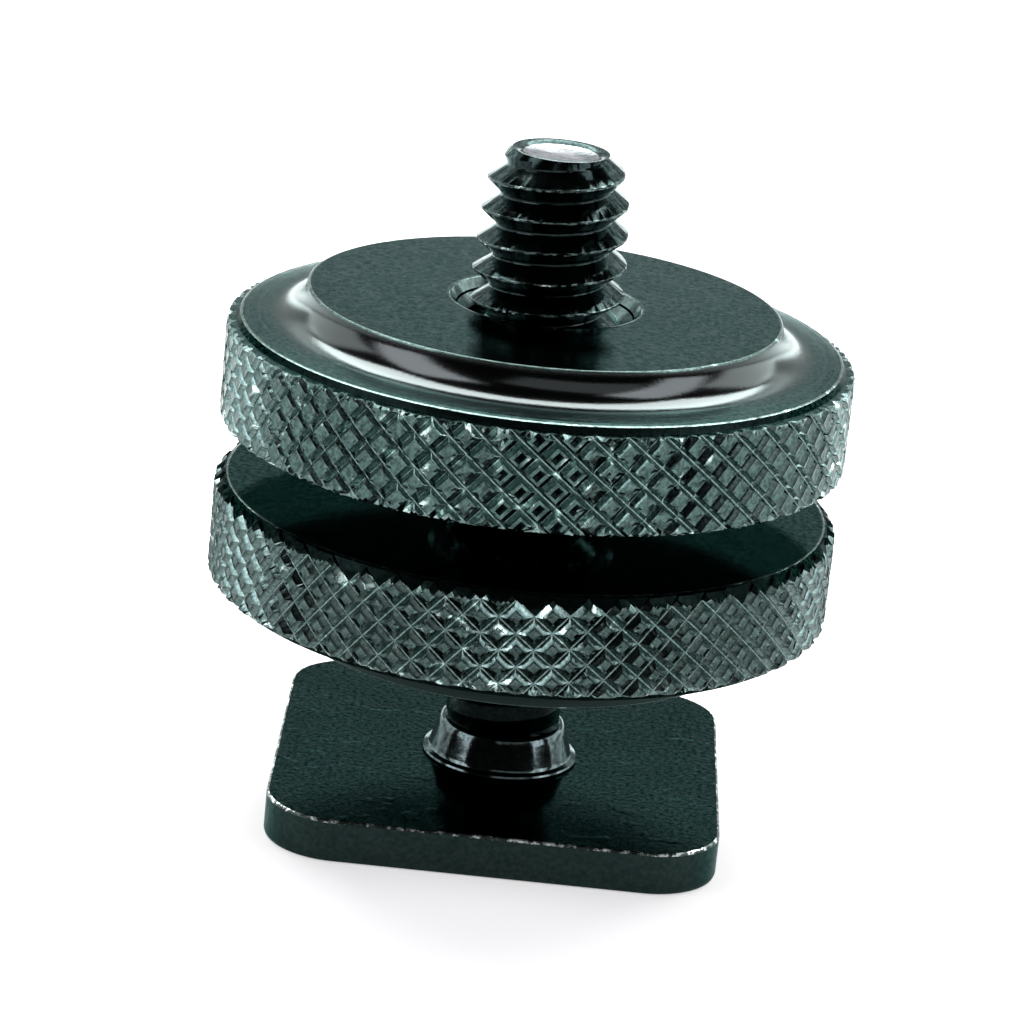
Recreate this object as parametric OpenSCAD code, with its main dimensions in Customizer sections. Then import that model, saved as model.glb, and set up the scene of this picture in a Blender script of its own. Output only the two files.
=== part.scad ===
// Accessory shoe foot with a screw stud and two knurled disc nuts.
// Units are millimetres. Z is the stud's axis, and z = 0 is the underside of the foot.

/* [Foot plate] */
// Width of the foot across the shoe rails, along X
foot_w = 18.6; // [17:0.1:19]
// Depth of the foot along the shoe rails, along Y
foot_d = 18.6; // [16:0.1:20]
// Thickness of the foot
foot_t = 1.8; // [1.2:0.05:2.2]
// Radius of the four upright corners
foot_corner_r = 3.0; // [1:0.1:5]
// Bevel along the top and bottom edges
foot_bevel = 0.15; // [0.05:0.05:0.4]

/* [Stud] */
// Major diameter of the 1/4-20 thread
thread_d = 6.35; // [6:0.01:6.5]
// Height of the stud's flat end above the underside of the foot
stud_top = 28; // [24:0.1:34]
// Radial depth of the lead-in taper at the free end
lead_in = 1.2; // [0.3:0.05:1.4]
// Height of the lead-in taper
lead_in_h = 1.6; // [0.5:0.1:2]
// Diameter of the unthreaded neck above the collar
neck_d = 4.86; // [4.4:0.02:5.2]
// Height at which the neck ends and the thread starts
neck_top = 8.2; // [7:0.1:10]
// Diameter of the tail that is riveted in the foot
tail_d = 4.0; // [3:0.1:4.5]
// Radial flare of the riveted tail at the underside
rivet_flare = 0.5; // [0.2:0.05:0.8]

/* [Collar] */
// Diameter at the top of the conical collar
collar_top_d = 5.1; // [4.9:0.05:6]
// Diameter of the cone where it meets the lip
collar_base_d = 5.9; // [5.2:0.05:6.4]
// Diameter of the thin lip that rests on the foot
lip_d = 6.4; // [6:0.05:7]
// Thickness of the lip
lip_t = 0.25; // [0.15:0.05:0.5]
// Height of the collar above the foot
collar_h = 1.65; // [1:0.05:2.5]

/* [Disc nuts] */
// Outer diameter over the knurl
nut_d = 25.8; // [24:0.1:28]
// Height of the knurled band, from the flat back to the rim
band_h = 4.4; // [3.5:0.1:6]
// Diameter of the smooth rim above the knurl
rim_d = 24.6; // [23:0.1:26]
// Drop of the chamfer between the rim and the knurl
rim_drop = 0.4; // [0.2:0.05:0.8]
// Chamfer at the edge of the flat back
back_chamfer = 0.3; // [0.1:0.05:0.6]
// Diameter of the raised platform
platform_d = 19.5; // [18:0.1:21]
// Height of the platform above the rim
platform_h = 1.4; // [0.8:0.05:2]
// Rise of the land from the rim up to the cove
land_rise = 0.12; // [0:0.02:0.3]
// Radius of the concave cove at the foot of the platform
cove_r = 1.3; // [0.8:0.05:1.4]
// Mouth diameter of the countersink in the platform
countersink_d = 8.1; // [7.5:0.1:9]

/* [Nut positions] */
// Height of the lower nut's platform face, which looks down
lower_nut_z = 7.65; // [4:0.05:9]
// Gap between the flat backs of the two nuts
nut_gap = 2.45; // [0.5:0.05:6]

/* [Hidden] */
$fn = 96;

over = 0.5;                          // overshoot of cutting shapes
foot_x = foot_w / 2;
foot_y = foot_d / 2;
collar_top = foot_t + collar_h;
thread_r = thread_d / 2;
neck_r = neck_d / 2;
tail_r = tail_d / 2;
nut_h = band_h + platform_h;         // whole thickness of one nut
nut_r = nut_d / 2;
platform_r = platform_d / 2;
sleeve_gap = 0.025;                  // radial play between stud and nut thread
sleeve_in_r = thread_r + sleeve_gap;
sleeve_out_r = 3.6;                  // outside of the thread lining
nut_bore_r = sleeve_out_r + 0.05;    // running clearance round the lining
sleeve_inset = 0.2;                  // lining starts this far above the nut's back
edge_break = 0.08;                   // tiny flat on the platform's edge
upper_nut_back = lower_nut_z + nut_h + nut_gap;
upper_nut_face = upper_nut_back + nut_h;
relief_low = upper_nut_face - 0.5;   // groove that ends the free length of the stud
relief_high = upper_nut_face + 0.1;
relief_r = thread_r - 0.25;

black_steel = [0.05, 0.055, 0.055];
black_alloy = [0.11, 0.13, 0.125];

// A slab across the foot with bevelled long edges. x is its half width, y its half length.
module bevelled_slab(x, y) {
    rotate([90, 0, 0])
    linear_extrude(height = 2 * y, center = true)
    polygon([
        [-x + foot_bevel, 0],
        [x - foot_bevel, 0],
        [x, foot_bevel],
        [x, foot_t - foot_bevel],
        [x - foot_bevel, foot_t],
        [-x + foot_bevel, foot_t],
        [-x, foot_t - foot_bevel],
        [-x, foot_bevel]
    ]);
}

// One rounded corner post of the foot, bevelled like the slabs.
module corner_post() {
    rotate_extrude()
    polygon([
        [0, 0],
        [foot_corner_r - foot_bevel, 0],
        [foot_corner_r, foot_bevel],
        [foot_corner_r, foot_t - foot_bevel],
        [foot_corner_r - foot_bevel, foot_t],
        [0, foot_t]
    ]);
}

// The hole for the stud's tail, countersunk from below for the rivet.
module tail_hole() {
    translate([0, 0, -over])
    cylinder(h = foot_t + 2 * over, r = tail_r);
    translate([0, 0, -over])
    cylinder(h = over + rivet_flare, r1 = tail_r + rivet_flare + over, r2 = tail_r);
}

module foot_plate() {
    color(black_steel)
    difference() {
        union() {
            bevelled_slab(foot_x, foot_y - foot_corner_r);
            rotate([0, 0, 90])
            bevelled_slab(foot_y, foot_x - foot_corner_r);
            for (sx = [-1, 1])
            for (sy = [-1, 1])
            translate([sx * (foot_x - foot_corner_r), sy * (foot_y - foot_corner_r), 0])
            corner_post();
        }
        tail_hole();
    }
}

module stud_collar() {
    color(black_steel)
    translate([0, 0, foot_t])
    rotate_extrude()
    polygon([
        [tail_r, 0],
        [lip_d / 2, 0],
        [lip_d / 2, lip_t],
        [collar_base_d / 2, lip_t],
        [collar_top_d / 2, collar_h],
        [tail_r, collar_h]
    ]);
}

// The thread is drawn as a plain cylinder at its major diameter.
module threaded_stud() {
    color(black_steel)
    rotate_extrude()
    polygon([
        [0, 0],
        [tail_r + rivet_flare, 0],
        [tail_r, rivet_flare],
        [tail_r, collar_top],
        [neck_r, collar_top],
        [neck_r, neck_top],
        [thread_r, neck_top + thread_r - neck_r],
        [thread_r, relief_low],
        [relief_r, relief_low],
        [relief_r, relief_high],
        [thread_r, relief_high],
        [thread_r, stud_top - lead_in_h],
        [thread_r - lead_in, stud_top],
        [0, stud_top]
    ]);
}

// Disc nut with its flat back at z = 0 and its platform up. The bore holds the thread lining.
module disc_nut() {
    difference() {
        rotate_extrude()
        difference() {
            polygon([
                [nut_bore_r, 0],
                [nut_r - back_chamfer, 0],
                [nut_r, back_chamfer],
                [nut_r, band_h - rim_drop],
                [rim_d / 2, band_h],
                [platform_r + cove_r, band_h + land_rise],
                [platform_r + cove_r, nut_h - edge_break],
                [platform_r, nut_h - edge_break],
                [platform_r - edge_break, nut_h],
                [nut_bore_r, nut_h]
            ]);
            translate([platform_r + cove_r, band_h + land_rise + cove_r])
            circle(r = cove_r);
        }
        translate([0, 0, nut_h - (countersink_d / 2 - nut_bore_r)])
        cylinder(h = countersink_d / 2 - nut_bore_r + over, r1 = nut_bore_r,
                 r2 = countersink_d / 2 + over);
        translate([0, 0, -over])
        cylinder(h = over + sleeve_inset, r1 = nut_bore_r + over + sleeve_inset, r2 = nut_bore_r);
    }
}

// The nut's internal thread, as a thin lining at the thread's major diameter.
module nut_thread() {
    lining_top = nut_h - (countersink_d / 2 - sleeve_out_r);
    rotate_extrude()
    polygon([
        [sleeve_in_r, sleeve_inset],
        [sleeve_out_r, sleeve_inset],
        [sleeve_out_r, lining_top],
        [sleeve_in_r, lining_top - (sleeve_out_r - sleeve_in_r)]
    ]);
}

// Turns a nut-shaped child over, so that its platform looks down at height z.
module platform_down(z) {
    translate([0, 0, z + nut_h])
    rotate([180, 0, 0])
    children();
}

module lower_nut() {
    color(black_alloy)
    platform_down(lower_nut_z)
    disc_nut();
}

module lower_nut_thread() {
    color(black_alloy)
    platform_down(lower_nut_z)
    nut_thread();
}

module upper_nut() {
    color(black_alloy)
    translate([0, 0, upper_nut_back])
    disc_nut();
}

module upper_nut_thread() {
    color(black_alloy)
    translate([0, 0, upper_nut_back])
    nut_thread();
}

foot_plate();
stud_collar();
threaded_stud();
lower_nut();
lower_nut_thread();
upper_nut();
upper_nut_thread();
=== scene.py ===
# Looks of an accessory shoe screw adapter: foot plate, collar, threaded stud and two knurled disc nuts.
# The object's lengths are written in millimetres and turned into metres where a mesh is made. The lights'
# and the floor's are in metres.
import math

import bpy
import bmesh
import numpy as np
from mathutils import Matrix, Vector


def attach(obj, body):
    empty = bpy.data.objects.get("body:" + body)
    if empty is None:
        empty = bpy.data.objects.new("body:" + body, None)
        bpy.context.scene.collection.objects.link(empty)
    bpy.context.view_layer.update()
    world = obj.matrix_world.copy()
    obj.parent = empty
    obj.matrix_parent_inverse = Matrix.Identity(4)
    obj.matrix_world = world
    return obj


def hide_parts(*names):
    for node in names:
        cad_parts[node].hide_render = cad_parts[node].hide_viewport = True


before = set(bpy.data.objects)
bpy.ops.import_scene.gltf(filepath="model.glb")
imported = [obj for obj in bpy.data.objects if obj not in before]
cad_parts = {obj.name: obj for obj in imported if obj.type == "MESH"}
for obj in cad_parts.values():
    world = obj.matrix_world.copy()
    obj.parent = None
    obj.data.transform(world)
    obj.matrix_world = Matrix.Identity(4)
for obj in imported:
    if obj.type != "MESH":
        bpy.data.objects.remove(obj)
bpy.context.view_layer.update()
MM = 0.001
TAU = 2 * math.pi

# ---------------------------------------------------------------- sizes, in millimetres
FOOT_HALF_X, FOOT_HALF_Y, FOOT_T, FOOT_R = 9.3, 9.3, 1.8, 3.0
STUD_TOP, THREAD_R, PITCH = 28.0, 3.15, 1.27
ROOT_R, NECK_R, END_R = 2.36, 2.43, 1.98
TAIL_R, RIVET_R, RIVET_H = 2.0, 2.5, 0.5     # the stud's tail is flared in the plate's underside
NECK_TOP = 8.2                               # where the neck ends and the thread begins
THREAD_PHASE = 24.755                        # height of one crest at +X
CREST_END = 27.6                             # no bright crest above this height
STUD_COLS = 144                              # points in one turn of the thread
COLLAR_TOP = 3.45
NUT_R, NUT_H, NUT_GAP = 12.9, 5.8, 2.45
NUT_BORE_R, NUT_RIM_R = 3.66, 12.37          # the bore, and the sharp edge between flats and knurl
PLATFORM_R = 9.55                            # the flat top of the nut's platform
COVE_X, COVE_Z, COVE_R = 11.05, 5.82, 1.3    # the arc of the cove: its centre and its radius
LOWER_FACE = 7.65                            # the lower nut's platform face
UPPER_BACK = LOWER_FACE + NUT_H + NUT_GAP

RING = 448                                   # points in each turned ring of a nut
STARTS_U, STARTS_V = 52, 62                  # grooves of the two families round the nut
STEPS = 8                                    # mesh lines from one groove to the next, see groove_lines
DIAMOND_H, DIAMOND_LEAN = 1.377, 0.118       # from a diamond to the one above: up, and back round the nut
BAND_LOW, BAND_TOP = 0.07, 4.10              # where the knurled band is cut off
SPARE, NEAR = 0.35, 0.3                      # lattice and cells beyond the band's edges, before the cut
FRONT = 0.02 - math.pi / 2                   # the side of the nut with the deepest dents, as an angle
PIT = 0.13                                   # a dent deeper than this is a flat rim round one deep point
BACK_BEVEL, FACE_BEVEL = 0.10, 3.98          # the bevels start here and end at the band's edges
TIP_BEVEL, PAINTED_SHADE_TOP = 0.38, 0.375            # the flipped nut's bevel, and the top of its edge of painted shade
TIP_MIDDLE, TIP_TOP = 0.22, 0.90             # its diamonds centred below the first are worn up to the second


# ---------------------------------------------------------------- meshes
def grid_faces(rows, cols, shift=0):
    """Quads of a closed rows x cols grid. shift joins the last column to higher rows, as on a screw."""
    row, col = np.meshgrid(np.arange(rows - 1), np.arange(cols), indexing="ij")
    lifted = row + shift * ((col + 1) // cols)
    here = row * cols + col
    after = lifted * cols + (col + 1) % cols
    quads = np.stack([here, after, after + cols, here + cols], axis=-1)
    return quads[lifted + 1 < rows]


def ring_points(radius, z, cols):
    """A level ring from +X round. radius is one number, or one for each point."""
    turn = np.arange(cols) * TAU / cols
    return np.stack([radius * np.cos(turn), radius * np.sin(turn), np.full(cols, float(z))], axis=-1)


def build(name, verts, faces, materials, face_materials, flat=None, smooth_angle=28):
    """A piece from arrays: vertices in millimetres, faces, a material index for each face."""
    mesh = bpy.data.meshes.new(name)
    mesh.from_pydata((np.asarray(verts) * MM).tolist(), [], [list(map(int, face)) for face in faces])
    for material in materials:
        mesh.materials.append(material)
    mesh.polygons.foreach_set("material_index", np.asarray(face_materials, dtype=np.int32))
    bm = bmesh.new()
    bm.from_mesh(mesh)
    bmesh.ops.remove_doubles(bm, verts=bm.verts, dist=1e-7)
    bmesh.ops.dissolve_degenerate(bm, edges=bm.edges, dist=1e-8)
    bmesh.ops.recalc_face_normals(bm, faces=bm.faces)
    bm.to_mesh(mesh)
    bm.free()
    mesh.shade_smooth()
    mesh.set_sharp_from_angle(angle=math.radians(smooth_angle))
    if flat:
        for polygon in mesh.polygons:
            if polygon.material_index in flat:
                polygon.use_smooth = False
    obj = bpy.data.objects.new(name, mesh)
    bpy.context.scene.collection.objects.link(obj)
    return obj


def lathe(name, profile, cols, material):
    """A piece of one material, turned from a closed profile of (radius, height)."""
    rings = [ring_points(radius, z, cols) for radius, z in [*profile, profile[0]]]
    quads = grid_faces(len(rings), cols)
    return build(name, np.concatenate(rings), quads.tolist(), [material], [0] * len(quads))


# ---------------------------------------------------------------- material helpers
def new_material(name, color, metallic, roughness, tint=None):
    material = bpy.data.materials.new(name)
    material.use_nodes = True
    shader = material.node_tree.nodes["Principled BSDF"]
    shader.inputs["Base Color"].default_value = (*color, 1)
    shader.inputs["Metallic"].default_value = metallic
    shader.inputs["Roughness"].default_value = roughness
    if tint:
        shader.inputs["Specular Tint"].default_value = (*tint, 1)
    return material, material.node_tree, shader


def node(tree, kind, **values):
    """A node whose named inputs and settings get the given values."""
    made = tree.nodes.new(kind)
    for key, value in values.items():
        if key in made.inputs:
            made.inputs[key].default_value = value
        else:
            setattr(made, key, value)
    return made


def feed(tree, socket, value):
    """Link another node's output to a socket, or set the socket to a number or a colour."""
    if isinstance(value, bpy.types.NodeSocket):
        tree.links.new(value, socket)
    elif isinstance(value, (tuple, list)):
        socket.default_value = (*value, 1)
    else:
        socket.default_value = value


def source(socket):
    """The output that is linked to a socket."""
    return socket.links[0].from_socket


def noise_of(tree, coords, size_mm, detail=3.0, rough=0.55):
    made = node(tree, "ShaderNodeTexNoise", Scale=1 / (size_mm * MM), Detail=detail, Roughness=rough)
    tree.links.new(coords, made.inputs["Vector"])
    return made.outputs["Fac"]


def mapped(tree, value, low, high, to_low, to_high):
    made = node(tree, "ShaderNodeMapRange")
    for key, limit in (("From Min", low), ("From Max", high), ("To Min", to_low), ("To Max", to_high)):
        made.inputs[key].default_value = limit
    tree.links.new(value, made.inputs["Value"])
    return made.outputs["Result"]


def mix(tree, factor, a, b):
    """From a to b by factor. Each of the two is a colour or another node's output."""
    made = node(tree, "ShaderNodeMix", data_type="RGBA")
    feed(tree, made.inputs["A"], a)
    feed(tree, made.inputs["B"], b)
    tree.links.new(factor, made.inputs["Factor"])
    return made.outputs["Result"]


def math_of(tree, operation, *values):
    made = node(tree, "ShaderNodeMath", operation=operation)
    for socket, value in zip(made.inputs, values):
        feed(tree, socket, value)
    return made.outputs["Value"]


def times(tree, a, b):
    return math_of(tree, "MULTIPLY", a, b)


def bump(tree, height, strength, distance_mm, normal=None):
    made = node(tree, "ShaderNodeBump", Strength=strength, Distance=distance_mm * MM)
    tree.links.new(height, made.inputs["Height"])
    if normal:
        tree.links.new(normal, made.inputs["Normal"])
    return made.outputs["Normal"]


def radius_of(tree, coords):
    """A point's distance from the object's axis."""
    flat = node(tree, "ShaderNodeVectorMath", operation="MULTIPLY")
    flat.inputs[1].default_value = (1, 1, 0)
    tree.links.new(coords, flat.inputs[0])
    length = node(tree, "ShaderNodeVectorMath", operation="LENGTH")
    tree.links.new(flat.outputs["Vector"], length.inputs[0])
    return length.outputs["Value"]


def scaled(color, by):
    return [channel * by for channel in color]


# ---------------------------------------------------------------- kinds of metal
def satin_parts(name, dark, light, rough_low, rough_high, tint, speck_mm=0.16, bump_mm=0.004, strength=0.35):
    """Anodised or plated flats: fine speckle, cloudy roughness and faint pits.

    Returns the material, its node tree and shader, the coordinates and the colour, to build on."""
    material, tree, shader = new_material(name, light, 1.0, rough_low, tint)
    coords = tree.nodes.new("ShaderNodeTexCoord").outputs["Object"]
    speck = noise_of(tree, coords, speck_mm, 4.0, 0.7)
    cloud = noise_of(tree, coords, 2.6, 2.0, 0.5)
    color = mix(tree, mapped(tree, speck, 0.35, 0.68, 0, 1), dark, light)
    tree.links.new(color, shader.inputs["Base Color"])
    grain = mapped(tree, noise_of(tree, coords, 0.20, 3.0, 0.8), 0.32, 0.68, 0, 1)
    dim, strong = scaled(tint, 0.70), [min(channel, 1) for channel in scaled(tint, 1.28)]
    tree.links.new(mix(tree, grain, dim, strong), shader.inputs["Specular Tint"])
    tree.links.new(mapped(tree, cloud, 0.3, 0.7, rough_low, rough_high), shader.inputs["Roughness"])
    tree.links.new(bump(tree, speck, strength, bump_mm), shader.inputs["Normal"])
    return material, tree, shader, coords, color


def satin(*look):
    return satin_parts(*look)[0]


def worn(name, dark, light, edge, rough, tint, speck_mm, bump_mm, low=0.52, high=0.60, spread=(0.42, 0.62),
         tops=None):
    """Dark metal whose raised edges are rubbed bright in patches. tops is the colour of a knurl's tops."""
    material, tree, shader, coords, color = satin_parts(name, dark, light, rough, rough + 0.12, tint,
                                                        speck_mm, bump_mm)
    point = tree.nodes.new("ShaderNodeNewGeometry").outputs["Pointiness"]
    patch = mapped(tree, noise_of(tree, coords, 0.35, 3.0, 0.7), *spread, 0, 1)
    wear = times(tree, mapped(tree, point, low, high, 0, 1), patch)
    if tops:
        height = mapped(tree, radius_of(tree, coords), (NUT_R - 0.12) * MM, (NUT_R - 0.03) * MM, 0, 1)
        mottle = mapped(tree, noise_of(tree, coords, 0.22, 3.0, 0.75), 0.38, 0.62, 0, 1)
        color = mix(tree, height, color, mix(tree, mottle, scaled(tops, 0.5), scaled(tops, 1.5)))
    tree.links.new(mix(tree, wear, color, edge), shader.inputs["Base Color"])
    return material


def nut_satin(name, cove_painted_light):
    """The nut's turned flats: teal satin, with turned rings on the land, and in the cove a colour given per
    nut as painted light.
    """
    material, tree, shader, coords, color = satin_parts(
        name, (0.006, 0.013, 0.012), (0.011, 0.019, 0.018), 0.08, 0.12, (0.64, 0.83, 0.80), 0.13, 0.008, 0.5)
    radius = radius_of(tree, coords)         # the masks that follow go by distance from the axis
    past_platform = mapped(tree, radius, 9.70 * MM, 9.76 * MM, 0, 1)
    cove = times(tree, past_platform, mapped(tree, radius, 10.9 * MM, 12.0 * MM, 1, 0))
    wall = times(tree, past_platform, mapped(tree, radius, 10.6 * MM, 11.3 * MM, 1, 0))
    land = mapped(tree, radius, 11.05 * MM, 11.5 * MM, 0.02, 1.0)
    # the cove's colour, given per nut: painted light
    tree.links.new(mix(tree, cove, color, cove_painted_light), shader.inputs["Base Color"])

    rings = node(tree, "ShaderNodeTexNoise", Scale=12000.0, Detail=2.0, noise_dimensions="1D")
    tree.links.new(radius, rings.inputs["W"])
    marks = times(tree, rings.outputs["Fac"], land)
    ringed = bump(tree, marks, 0.6, 0.011, source(shader.inputs["Normal"]))
    tree.links.new(ringed, shader.inputs["Normal"])

    streak = times(tree, mapped(tree, rings.outputs["Fac"], 0.42, 0.64, 0, 0.55), land)
    tint = mix(tree, streak, source(shader.inputs["Specular Tint"]), (0.82, 1.0, 0.97))
    tree.links.new(mix(tree, wall, tint, (0.90, 1.0, 0.985)), shader.inputs["Specular Tint"])
    for mask, more in ((cove, 0.03), (land, 0.04)):
        softer = math_of(tree, "MULTIPLY_ADD", mask, more, source(shader.inputs["Roughness"]))
        tree.links.new(softer, shader.inputs["Roughness"])
    return material


def knurl_metal(name, walls, tops):
    """The knurl's cut metal. walls and tops scale how light the grooves and the diamonds' tops are; each nut
    gets its own scales as painted light.
    """
    dark, light = scaled((0.044, 0.076, 0.071), walls), scaled((0.165, 0.232, 0.220), walls)
    return worn(name, dark, light, (0.60, 0.78, 0.74), 0.11, (0.93, 1.00, 0.99), 0.16, 0.012, 0.54, 0.64,
                (0.46, 0.60), scaled((0.042, 0.072, 0.067), tops))


def foot_satin():
    """The plate's top and bottom: satin with a few shallow dents."""
    material, tree, shader, coords, _ = satin_parts(
        "foot_satin", (0.007, 0.014, 0.013), (0.013, 0.021, 0.020), 0.10, 0.15, (0.555, 0.655, 0.645),
        0.2, 0.006)
    dents = mapped(tree, noise_of(tree, coords, 1.1, 1.0, 0.5), 0.60, 0.72, 0, 1)
    tree.links.new(bump(tree, dents, 0.35, 0.02, source(shader.inputs["Normal"])), shader.inputs["Normal"])
    return material


# ---------------------------------------------------------------- materials
# satin: dark and light speckle, lowest and highest roughness, tint at grazing angles, speckle and bump size
# worn: dark and light speckle, rubbed edge, roughness, tint, speckle and bump size, then how sharp an edge
# has to be to be rubbed, and where the patches lie in their noise
# the cove is lighter on the upper nut, a painted highlight, and darker on the lower nut against the floor's
# reflection, painted shade
SATIN_UPPER = nut_satin("upper_nut_satin", (0.040, 0.045, 0.045))
SATIN_LOWER = nut_satin("lower_nut_satin", (0.012, 0.020, 0.019))
BACK = satin("nut_back", (0.006, 0.012, 0.011), (0.010, 0.018, 0.017), 0.06, 0.09, (0.56, 0.70, 0.68),
             0.16, 0.002)
EDGE = worn("nut_bright_edge", (0.018, 0.030, 0.027), (0.08, 0.125, 0.115), (0.58, 0.78, 0.74), 0.2,
            (0.85, 1, 0.98), 0.1, 0.010)
# near-black metal for the step under the rim, the deep pits, the flipped nut's low tips and the back's edge:
# painted shade
PAINTED_SHADE = satin("nut_groove_black", (0.0015, 0.003, 0.003), (0.004, 0.008, 0.007), 0.25, 0.4,
               (0.45, 0.50, 0.49), 0.2, 0.004)
# a lighter copy of the knurl metal for the upper nut and a darker one for the lower: painted light and
# painted shade
KNURL_UPPER = knurl_metal("upper_nut_knurl", 1.15, 1.15)
KNURL_LOWER = knurl_metal("lower_nut_knurl", 0.88, 0.60)
BORE = satin("nut_bore", (0.035, 0.052, 0.050), (0.08, 0.11, 0.105), 0.14, 0.22, (0.70, 0.86, 0.84),
             0.3, 0.004)
STUD = satin("stud_black", (0.006, 0.010, 0.010), (0.018, 0.026, 0.025), 0.10, 0.16, (0.7, 0.82, 0.81),
             0.2, 0.008)
# the neck under the lower nut: a near-black copy of the stud's metal, painted shade
NECK_SHADE = satin("neck_black", (0.001, 0.002, 0.002), (0.004, 0.006, 0.006), 0.12, 0.2, (0.7, 0.8, 0.8),
             0.2, 0.012)
STUD_EDGE = worn("stud_worn_crest", (0.012, 0.020, 0.019), (0.07, 0.10, 0.095), (0.6, 0.7, 0.68), 0.16,
                 (0.85, 1, 1), 0.22, 0.016, 0.50, 0.60)
COLLAR = satin("collar_gloss", (0.022, 0.032, 0.032), (0.085, 0.110, 0.112), 0.08, 0.15, (0.72, 0.86, 0.86),
               0.35, 0.016)
PLATE = foot_satin()
STUD_END = satin("stud_end", (0.22, 0.26, 0.26), (0.80, 0.80, 0.85), 0.08, 0.14, (0.8, 0.85, 0.9),
                 1.1, 0.02)
PLATE_SIDE = satin("foot_side", (0.010, 0.020, 0.018), (0.020, 0.034, 0.032), 0.30, 0.42, (0.6, 0.75, 0.72),
                   0.22, 0.02)
WORN = worn("foot_worn_edge", (0.010, 0.018, 0.016), (0.08, 0.10, 0.095), (0.85, 0.92, 0.90), 0.25,
            (0.8, 0.95, 0.93), 0.25, 0.014, 0.45, 0.55, (0.50, 0.62))


# ---------------------------------------------------------------- knurl
def groove_lines(index, cut):
    """Mesh lines along one family of grooves: their place, distance to the nearest groove, and depth.

    A cut is a groove's half floor, the start of the diamond's top and the start of its dent, as shares of
    one diamond, then the groove's depth."""
    floor, top, dent, depth = cut
    levels = np.array([0, floor, top, dent, 0.5, 1 - dent, 1 - top, 1 - floor])
    place = index // STEPS + levels[index % STEPS]
    away = np.abs(place - np.round(place))
    return place, away, -depth * (1 - np.interp(away, [floor, top], [0, 1]))


def beveled(r, z, tips, upward):
    """The knurl's radii, turned down towards both edges of the band and at the flipped nut's worn tips."""
    if upward < 0:
        worn_down = np.interp(z, [0, 0.40, TIP_TOP], [12.48, 12.62, 12.78])
        r = np.where(tips, np.minimum(r, worn_down), r)
    bevel = TIP_BEVEL if upward < 0 else BACK_BEVEL
    face_slope, start_r, start_slope = 0.6, 12.60, 2.7
    r = np.minimum(r, NUT_R - np.maximum(bevel - z, 0))
    r = np.minimum(r, NUT_R - np.maximum(z - FACE_BEVEL, 0) * face_slope)
    return np.minimum(r, start_r + start_slope * np.maximum(z - BAND_LOW, 0))


def knurl_lattice(cut_u, cut_v, dish, lift, upward, rng):
    """The knurl's points as columns along one family of grooves, and which points get painted shade: pits and
    low tips.

    Two families of grooves cross on the nut like the starts of two screws, one with STARTS_U and one with
    STARTS_V starts, so the rows of diamonds climb slowly round the nut. lift is the height at angle 0.
    A dish is the dents' depth at the front, elsewhere, and how fast the front ones fade. A shallow dent is
    deepest on the side that points upward, and a deep one is a pit. upward is 1, or -1 on the flipped nut."""
    rise_u = DIAMOND_H * STARTS_V / (STARTS_U + STARTS_V)
    rise_v = DIAMOND_H - rise_u
    lean = DIAMOND_LEAN / NUT_R
    turn_u = (TAU - STARTS_V * lean) / (STARTS_U + STARTS_V)
    turn_v = turn_u + lean
    column = np.arange(STARTS_U * STEPS)
    count = math.ceil((BAND_TOP - BAND_LOW + 2 * SPARE) / rise_v * STEPS)
    first = np.floor((column / STEPS * rise_u + lift - BAND_TOP - SPARE) / rise_v * STEPS).astype(int)
    line = first[:, None] + np.arange(count)[None, :]
    u, away_u, groove_u = groove_lines(column[:, None], cut_u)
    v, away_v, groove_v = groove_lines(line, cut_v)
    angle = u * turn_u + v * turn_v
    z = u * rise_u - v * rise_v + lift

    # near its floor a groove of the first family runs straight through those of the second
    low = np.where(away_u < cut_u[1] * 0.6, groove_u, np.minimum(groove_u, groove_v))
    inside = (away_u > cut_u[2] - 0.01) & (away_v > cut_v[2] - 0.01)
    at_front, elsewhere, width = dish
    deep = elsewhere + (at_front - elsewhere) * np.exp((np.cos(angle - FRONT) - 1) / width)
    pits = inside & (deep > PIT)
    slope = np.clip(0.55 + 0.9 * upward * ((u % 1) - (v % 1)), 0, 1)
    low = low - np.where(inside & ~pits, deep * slope, 0)
    low = low - np.where(pits & (away_u > 0.49) & (away_v > 0.49), deep, 0)
    # wear: more on the tops than in the grooves
    low = low - np.abs(rng.normal(0, 1, low.shape)) * np.where(low > -0.001, 0.011, 0.005)

    middle = (np.floor(u) + 0.5) * rise_u - (np.floor(v) + 0.5) * rise_v + lift
    tips = (middle < TIP_MIDDLE) & (z < TIP_TOP)
    r = beveled(NUT_R + low, z, tips, upward)
    points = np.stack([r * np.cos(angle), r * np.sin(angle), z], axis=-1)
    return points, line, pits, (upward < 0) & (tips | (z < TIP_BEVEL))


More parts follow.
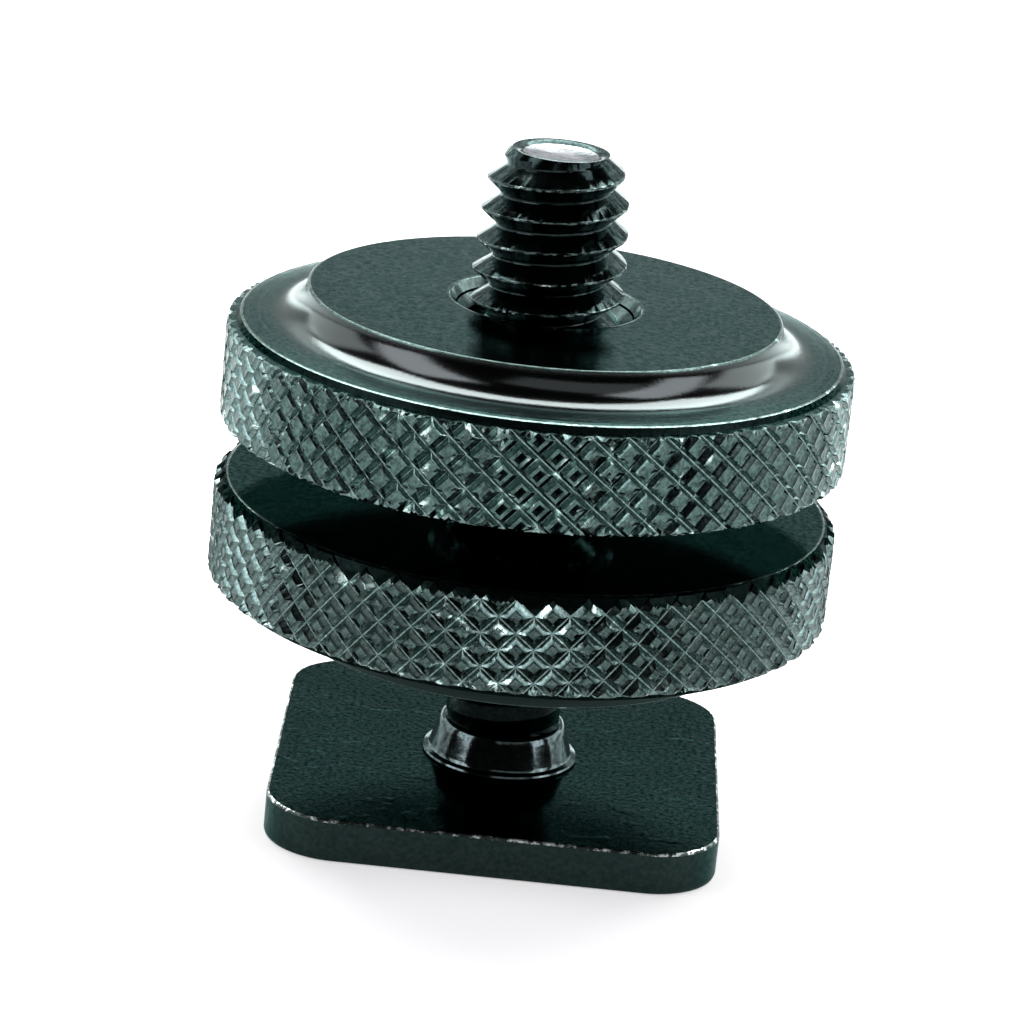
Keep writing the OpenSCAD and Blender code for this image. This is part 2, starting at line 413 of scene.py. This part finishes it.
def knurl_band(cut_u, cut_v, dish, lift, upward, rng):
    """The knurled band as triangles: vertices, faces, their slots, and its lower and upper edge."""
    points, line, pits, tips = knurl_lattice(cut_u, cut_v, dish, lift, upward, rng)
    cols, count = line.shape
    z = points[..., 2]
    bm = bmesh.new()
    corners = [bm.verts.new(point) for point in points.reshape(-1, 3)]

    def add_cell(cell, halves_even):
        """Two triangles that meet along the diagonal towards the diamond's middle."""
        # low cells on the flipped nut, its worn tips and the deep pits get the near-black metal: painted
        # shade
        low_cell = upward < 0 and sum(z[c] for c in cell) / 4 < PAINTED_SHADE_TOP
        dark = low_cell or all(tips[c] for c in cell) or all(pits[c] for c in cell)
        a, b, c, d = (corners[i * count + j] for i, j in cell)
        for three in ((a, b, c), (a, c, d)) if halves_even else ((a, b, d), (b, c, d)):
            bm.faces.new(three).material_index = PAINTED_SHADE_SLOT if dark else KNURL_SLOT

    for i in range(cols):
        after = (i + 1) % cols
        wrap = (i + 1) // cols * STARTS_V * STEPS
        for j in range(count - 1):
            k = line[i, j] - wrap - line[after, 0]
            if not 0 <= k < count - 1:
                continue
            cell = [(i, j), (after, k), (after, k + 1), (i, j + 1)]
            if any(BAND_LOW - NEAR < z[c] < BAND_TOP + NEAR for c in cell):
                add_cell(cell, (i % STEPS < STEPS / 2) == (line[i, j] % STEPS < STEPS / 2))
    for height, outward in ((BAND_LOW, -1), (BAND_TOP, 1)):
        bmesh.ops.bisect_plane(bm, geom=bm.verts[:] + bm.edges[:] + bm.faces[:], dist=1e-6,
                               plane_co=(0, 0, height), plane_no=(0, 0, outward), clear_outer=True)
    bmesh.ops.delete(bm, geom=[w for w in bm.verts if not w.link_faces], context="VERTS")
    bm.verts.index_update()
    verts = np.array([w.co for w in bm.verts])
    faces = [[w.index for w in face.verts] for face in bm.faces]
    slots = [face.material_index for face in bm.faces]
    edges = [[w.index for w in bm.verts if w.is_boundary and abs(w.co.z - height) < 0.01]
             for height in (BAND_LOW, BAND_TOP)]
    bm.free()
    return verts, faces, slots, edges


def zip_rings(verts, a, b):
    """Triangles between two rings of vertices that need not have the same number of points."""
    def in_order(ring):
        turn = np.arctan2(verts[ring, 1], verts[ring, 0]) % TAU
        order = np.argsort(turn)
        ring, turn = np.asarray(ring)[order], turn[order]
        return np.append(ring, ring[0]), np.append(turn, turn[0] + TAU)

    (a, at), (b, bt) = in_order(a), in_order(b)
    i = j = 0
    faces = []
    while i < len(a) - 1 or j < len(b) - 1:
        if j == len(b) - 1 or (i < len(a) - 1 and at[i + 1] <= bt[j + 1]):
            faces.append((a[i], a[i + 1], b[j]))
            i += 1
        else:
            faces.append((a[i], b[j + 1], b[j]))
            j += 1
    return faces


# ---------------------------------------------------------------- nuts
SATIN_SLOT, BACK_SLOT, KNURL_SLOT, BORE_SLOT, EDGE_SLOT, PAINTED_SHADE_SLOT = range(6)


def cove_points(steps=14):
    """The concave cove from the land up to the platform's edge."""
    turn = np.radians(np.linspace(268, 184.4, steps))
    return [(COVE_X + COVE_R * math.cos(t), COVE_Z + COVE_R * math.sin(t)) for t in turn]


def nut_profile(ragged):
    """The nut's turned rings from the band over the land, cove, platform and bore to the back's edge.

    Each is a radius, a height and the slot of the strip that leads to it. ragged chips the sharp edges."""
    edge = NUT_RIM_R - ragged * 0.5
    # the step under the rim gets the near-black metal: painted shade
    over_edge = [(12.50, 4.13, SATIN_SLOT), (12.47, 4.17, PAINTED_SHADE_SLOT), (NUT_RIM_R, 4.38, PAINTED_SHADE_SLOT),
                 (12.345 - ragged, 4.40, EDGE_SLOT), (12.27 - ragged, 4.415, EDGE_SLOT)]
    land = [(r, z, SATIN_SLOT) for r, z in ((12.20, 4.42), (12.0, 4.446), (11.7, 4.470), (11.4, 4.494))]
    cove = [(r, z, SATIN_SLOT) for r, z in cove_points()]
    platform = [(9.755, 5.70, SATIN_SLOT), (9.735, 5.755, EDGE_SLOT), (9.69, 5.788, EDGE_SLOT),
                (9.62, NUT_H, EDGE_SLOT), (PLATFORM_R, NUT_H, SATIN_SLOT), (7.0, NUT_H, SATIN_SLOT),
                (4.05, NUT_H, SATIN_SLOT)]
    bore = [(r, z, BORE_SLOT) for r, z in ((4.00, NUT_H), (3.96, 5.79), (3.92, 5.76), (3.89, 5.71),
                                           (NUT_BORE_R, 5.43), (NUT_BORE_R, 0.20), (3.86, 0.0))]
    back = [(6.0, 0.0, BACK_SLOT), (10.0, 0.0, BACK_SLOT), (12.34, 0.0, BACK_SLOT),
            (edge, 0.0, EDGE_SLOT), (edge + 0.06, 0.02, EDGE_SLOT)]
    return over_edge + land + cove + platform + bore + back


def nut(name, base_z, flip, cuts, seed, turn):
    """One disc nut: the knurled band, and the turned rings that close it over the face, bore and back."""
    rng = np.random.default_rng(seed)
    band_verts, band_faces, band_slots, (band_low, band_top) = knurl_band(*cuts, -1 if flip else 1, rng)
    profile = nut_profile(np.abs(rng.normal(0, 1, RING)) * 0.02)
    verts = np.concatenate([ring_points(r, z, RING) for r, z, _ in profile] + [band_verts])
    quads = grid_faces(len(profile), RING)
    faces = quads.tolist()
    slots = [profile[int(quad[0]) // RING + 1][2] for quad in quads]
    start = len(profile) * RING
    faces += [[start + corner for corner in face] for face in band_faces]
    slots += band_slots
    first_ring, last_ring = range(RING), range(start - RING, start)
    # the strip from the back's edge to the band's lower edge gets the near-black metal, painted shade; the
    # one at the face is satin
    for ring, edge, slot in ((first_ring, band_top, SATIN_SLOT), (last_ring, band_low, PAINTED_SHADE_SLOT)):
        strip = zip_rings(verts, list(ring), [start + corner for corner in edge])
        faces += strip
        slots += [slot] * len(strip)
    c, s = math.cos(turn), math.sin(turn)
    verts = verts @ np.array([[c, s, 0], [-s, c, 0], [0, 0, 1]])
    if flip:
        verts = verts * np.array([1, -1, -1]) + np.array([0, 0, base_z + NUT_H])
    else:
        verts = verts + np.array([0, 0, base_z])
    # each nut takes its own copies of the satin and knurl metals, lighter or darker: painted light
    satin_metal, cut_metal = (SATIN_LOWER, KNURL_LOWER) if flip else (SATIN_UPPER, KNURL_UPPER)
    materials = [satin_metal, BACK, cut_metal, BORE, EDGE, PAINTED_SHADE]
    return build(name, verts, faces, materials, slots, flat={KNURL_SLOT}, smooth_angle=19)


# each nut's knurl: the cuts of its two families of grooves, its dish and its lift
even_cut = (0.03, 0.25, 0.34, 0.22)
lower_cuts = (even_cut, even_cut, (0.10, 0.10, 0.05), -0.034)
upper_cuts = ((0.03, 0.165, 0.27, 0.20), (0.01, 0.22, 0.36, 0.28), (0.17, 0.05, 0.020), 0.661)
lower = nut("lower_disc_nut", LOWER_FACE, True, lower_cuts, 11, 0.026)
upper = nut("upper_disc_nut", UPPER_BACK, False, upper_cuts, 23, 0.015)
for piece, body, old in ((lower, "lower_nut", "lower_nut"), (upper, "upper_nut", "upper_nut")):
    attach(piece, body)
    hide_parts(old)
# the thread linings keep their CAD meshes and get the bore's metal
for old in ("lower_nut_thread", "upper_nut_thread"):
    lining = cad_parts[old].data
    lining.materials.clear()
    lining.materials.append(BORE)


# ---------------------------------------------------------------- stud
THREAD_SLOT, CREST_SLOT, END_SLOT, NECK_SHADE_SLOT = range(4)


def thread_shape(offset):
    """Radius of the thread at a height offset from a crest, for a 60 degree thread."""
    away = np.abs((offset + PITCH / 2) % PITCH - PITCH / 2)
    return np.interp(away, [0.03, 0.06, 0.575, 0.61, 0.635],
                     [THREAD_R, THREAD_R - 0.03, ROOT_R + 0.02, ROOT_R, ROOT_R - 0.005])


def stud_radius(z, offset, low):
    """The screw's radius: thread with nicked crests, a run-out to the neck, and the end's worn chamfer."""
    r = thread_shape(offset)
    rng = np.random.default_rng(3)
    crest_r, nick_depth = 3.08, 0.026
    nicks = np.abs(rng.normal(0, 1, r.shape)) * np.where(r > crest_r, nick_depth, 0.0)
    sunk = (THREAD_R - r) / (THREAD_R - ROOT_R)
    envelope = np.interp(z, [NECK_TOP, 8.9, 23.2, 24.4, 25.7, 27.0, 27.45, 27.75, STUD_TOP],
                         [NECK_R, THREAD_R, THREAD_R, 3.08, 3.02, 2.84, 2.60, 2.30, END_R])
    share = np.clip((envelope - ROOT_R) / (THREAD_R - ROOT_R), 0, 1)
    deeper = np.interp(z, [25.5, 27.4], [0, 0.22]) * sunk
    thread = np.minimum(ROOT_R + (r - ROOT_R) * np.where(r > ROOT_R, share, 1), envelope) - deeper - nicks
    r = np.where(z < NECK_TOP, NECK_R - 0.06 * sunk, thread)
    r = np.where(z <= low, NECK_R, r)
    return np.where(z >= STUD_TOP, END_R - 0.01, r)


def helical_sheet(low):
    """The screw's side from low to its top, as rows of points that climb one pitch in each turn.

    marks are the rows of one pitch, as heights from the middle of its crest."""
    marks = np.array([-0.06, -0.03, 0.03, 0.06, 0.32, 0.575, 0.61, 0.66, 0.695, 0.95])
    turns = np.arange(math.floor((low - THREAD_PHASE) / PITCH) - 2,
                      math.ceil((STUD_TOP - THREAD_PHASE) / PITCH) + 2)
    base = (THREAD_PHASE + turns[:, None] * PITCH + marks[None, :]).ravel()
    turn = np.arange(STUD_COLS) * TAU / STUD_COLS
    climb = PITCH * turn[None, :] / TAU
    z = base[:, None] + climb
    r = stud_radius(z, z - THREAD_PHASE - climb, low)
    z = np.clip(z, low, STUD_TOP)
    verts = np.stack([r * np.cos(turn), r * np.sin(turn), z], axis=-1).reshape(-1, 3)
    quads = grid_faces(len(base), STUD_COLS, shift=len(marks))
    height = verts[quads[:, 0], 2]
    on_crest = np.isin((quads[:, 0] // STUD_COLS) % len(marks), [0, 1, 2])
    threaded = height > NECK_TOP + 0.2
    # the neck below the thread gets the near-black copy of the stud's metal: painted shade
    slots = np.where(threaded, THREAD_SLOT, NECK_SHADE_SLOT)
    slots[on_crest & threaded & (height < CREST_END)] = CREST_SLOT
    return verts, quads, slots.tolist()


def stud():
    """The screw: its helical side, the slightly dished end and the riveted tail."""
    low = COLLAR_TOP - 0.02
    side, side_quads, slots = helical_sheet(low)
    end = [(END_R, STUD_TOP), (1.90, STUD_TOP), (1.66, 27.93), (1.60, 27.89), (1.54, 27.86), (1.30, 27.80),
           (1.0, 27.75), (0.6, 27.71), (0.02, 27.69)]
    tail = [(NECK_R, low), (TAIL_R, low), (TAIL_R, RIVET_H), (RIVET_R, 0.0), (2.35, 0.0), (0.02, 0.0)]
    verts, faces = [side], side_quads.tolist()
    start = len(side)
    caps = []
    for rings, rim_strips, slot in ((end, 4, END_SLOT), (tail, 0, THREAD_SLOT)):
        verts += [ring_points(r, z, STUD_COLS) for r, z in rings]
        quads = grid_faces(len(rings), STUD_COLS) + start
        faces += quads.tolist()
        slots += [THREAD_SLOT] * (rim_strips * STUD_COLS) + [slot] * (len(quads) - rim_strips * STUD_COLS)
        start += len(rings) * STUD_COLS
        caps.append(list(range(start - STUD_COLS, start)))
    materials = [STUD, STUD_EDGE, STUD_END, NECK_SHADE]
    return build("threaded_screw", np.concatenate(verts), faces + caps, materials,
                 slots + [END_SLOT, THREAD_SLOT], smooth_angle=22)


screw = stud()
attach(screw, "foot")
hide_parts("threaded_stud")


# ---------------------------------------------------------------- collar
def collar_profile():
    """From the stud's tail over the thin lip and up the cone, which is rounded at its top."""
    lip = [(3.16, FOOT_T), (3.24, 1.85), (3.255, 1.92), (3.22, 1.99), (3.12, 2.04), (3.04, 2.08),
           (3.00, 2.14), (2.975, 2.22)]
    cone = [(2.90, 2.45), (2.80, 2.76), (2.70, 3.07), (2.62, 3.30)]
    top = [(2.57, 3.38), (2.50, 3.43), (2.44, COLLAR_TOP)]
    return [(TAIL_R, FOOT_T), *lip, *cone, *top, (TAIL_R, COLLAR_TOP)]


collar = lathe("conical_collar", collar_profile(), 128, COLLAR)
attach(collar, "foot")
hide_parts("stud_collar")

# ---------------------------------------------------------------- foot plate
TOP_SLOT, SIDE_SLOT, WORN_SLOT = range(3)


def rounded_ring(inset, z, chips=0):
    """Points round the plate's outline, moved in by inset and by chips. The first is on the +X side."""
    arc, side = 20, 22
    half_x, half_y = FOOT_HALF_X - FOOT_R, FOOT_HALF_Y - FOOT_R
    centers = [(half_x, half_y), (-half_x, half_y), (-half_x, -half_y), (half_x, -half_y)]
    spots = []
    for quarter, (x, y) in enumerate(centers):
        next_x, next_y = centers[(quarter + 1) % 4]
        spots += [(x, y, (quarter + s / arc) * math.pi / 2) for s in range(arc)]
        spots += [(x + (next_x - x) * s / side, y + (next_y - y) * s / side, (quarter + 1) * math.pi / 2)
                  for s in range(side)]
    x, y, angle = np.array(spots).T
    reach = FOOT_R - inset - chips
    height = np.full(len(spots), float(z))
    return np.stack([x + reach * np.cos(angle), y + reach * np.sin(angle), height], axis=-1)


def foot():
    """The plate, from inside its hole over the underside, the rim and the top, and back into the hole."""
    outline = rounded_ring(0, 0)
    count = len(outline)
    angles = np.arctan2(outline[:, 1], outline[:, 0])
    chip = np.abs(np.random.default_rng(5).normal(0, 1, count)) * 0.018

    def hole(radius, z):
        return np.stack([radius * np.cos(angles), radius * np.sin(angles), np.full(count, float(z))], axis=-1)

    rings = [
        (hole(TAIL_R, RIVET_H), SIDE_SLOT), (hole(RIVET_R, 0.0), SIDE_SLOT),
        (rounded_ring(0.13, 0.0), TOP_SLOT), (rounded_ring(0.04, 0.03), SIDE_SLOT),
        (rounded_ring(0.0, 0.13), SIDE_SLOT), (rounded_ring(0.0, FOOT_T - 0.12), SIDE_SLOT),
        (rounded_ring(0.02, FOOT_T - 0.03, chip * 0.6), WORN_SLOT),
        (rounded_ring(0.08, FOOT_T, chip), WORN_SLOT), (rounded_ring(1.2, FOOT_T), TOP_SLOT),
        (hole(4.2, FOOT_T), TOP_SLOT), (hole(TAIL_R, FOOT_T), TOP_SLOT), (hole(TAIL_R, RIVET_H), SIDE_SLOT)]
    quads = grid_faces(len(rings), count)
    slots = [rings[int(quad[0]) // count + 1][1] for quad in quads]
    verts = np.concatenate([points for points, _ in rings])
    return build("shoe_foot_plate", verts, quads.tolist(), [PLATE, PLATE_SIDE, WORN], slots, smooth_angle=14)


plate = foot()
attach(plate, "foot")
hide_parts("foot_plate")


# ---------------------------------------------------------------- floor
def floor_material():
    """Pale and matt. It glows a little, so that only a faint contact shadow is left."""
    material, _, shader = new_material("pale_floor", (0.42, 0.42, 0.42), 0.0, 0.9)
    shader.inputs["Specular IOR Level"].default_value = 0.0
    shader.inputs["Emission Color"].default_value = (1, 1, 1, 1)
    shader.inputs["Emission Strength"].default_value = 0.42
    return material


FLOOR_DROP = 0.02 * MM                       # a hair under the plate, so that the two faces never meet
bpy.ops.mesh.primitive_plane_add(size=3.0, location=(0, 0, -FLOOR_DROP))
floor = bpy.context.object
floor.name = "floor"
floor.data.materials.append(floor_material())


# ---------------------------------------------------------------- light
def softbox(name, azimuth, elevation, distance, width, height, radiance, color=(1, 1, 1)):
    """A rectangular light that looks at the object's middle. Azimuth 0 is the camera's side, 90 is +X."""
    a, e = math.radians(azimuth), math.radians(elevation)
    away = Vector((math.sin(a) * math.cos(e), -math.cos(a) * math.cos(e), math.sin(e)))
    data = bpy.data.lights.new(name, "AREA")
    data.shape = "RECTANGLE"
    data.size, data.size_y = width, height
    data.energy = radiance * math.pi * width * height
    data.color = color
    obj = bpy.data.objects.new(name, data)
    obj.location = Vector((0, 0, STUD_TOP / 2 * MM)) + away * distance
    obj.rotation_mode = "QUATERNION"
    obj.rotation_quaternion = away.to_track_quat("Z", "Y")
    bpy.context.scene.collection.objects.link(obj)


# each softbox: azimuth and elevation in degrees, distance, width and height in metres, radiance
violet = (1, 0.98, 1.03)
softbox("back_wall", 180, 20.5, 0.75, 1.5, 0.36, 0.62)
softbox("upper_wall", 180, 29, 0.76, 1.3, 0.15, 1.4)
softbox("horizon", 180, 3.3, 0.80, 1.5, 0.095, 3.4)
softbox("left_card", -116, 19, 0.70, 0.55, 0.46, 2.7)
softbox("right_card", 116, 19, 0.70, 0.55, 0.46, 3.6)
softbox("front_card", 22, 42, 0.70, 0.70, 0.42, 0.75)
softbox("overhead", 180, 56, 0.55, 0.66, 0.37, 15.0)
softbox("left_tower", -68, 36, 0.50, 0.26, 0.52, 5.2, violet)
softbox("right_tower", 72, 36, 0.50, 0.22, 0.52, 4.9, violet)

world = bpy.data.worlds.new("studio")
world.use_nodes = True
background = world.node_tree.nodes["Background"]
background.inputs["Color"].default_value = (1, 1, 1, 1)
background.inputs["Strength"].default_value = 0.02
bpy.context.scene.world = world

# ---------------------------------------------------------------- camera
ELEVATION, ROLL = math.radians(18.45), math.radians(5.9)
AIM = Vector((-0.247, 0, 12.286)) * MM
DISTANCE = 175 * MM
SENSOR, LENS = 36, 146.7                     # both in millimetres
NEAREST, FARTHEST = 0.005, 20                # what the camera sees, in metres
back = Vector((0, -math.cos(ELEVATION), math.sin(ELEVATION)))
level = Vector((1, 0, 0))
up = back.cross(level)
side = level * math.cos(ROLL) + up * math.sin(ROLL)
above = up * math.cos(ROLL) - level * math.sin(ROLL)
cam_data = bpy.data.cameras.new("camera")
cam_data.sensor_width, cam_data.lens = SENSOR, LENS
cam_data.clip_start, cam_data.clip_end = NEAREST, FARTHEST
cam = bpy.data.objects.new("camera", cam_data)
rotation = Matrix((side, above, back)).transposed()
cam.matrix_world = Matrix.Translation(AIM + back * DISTANCE) @ rotation.to_4x4()
bpy.context.scene.collection.objects.link(cam)
bpy.context.scene.camera = cam
bpy.context.scene.view_settings.view_transform = "Standard"
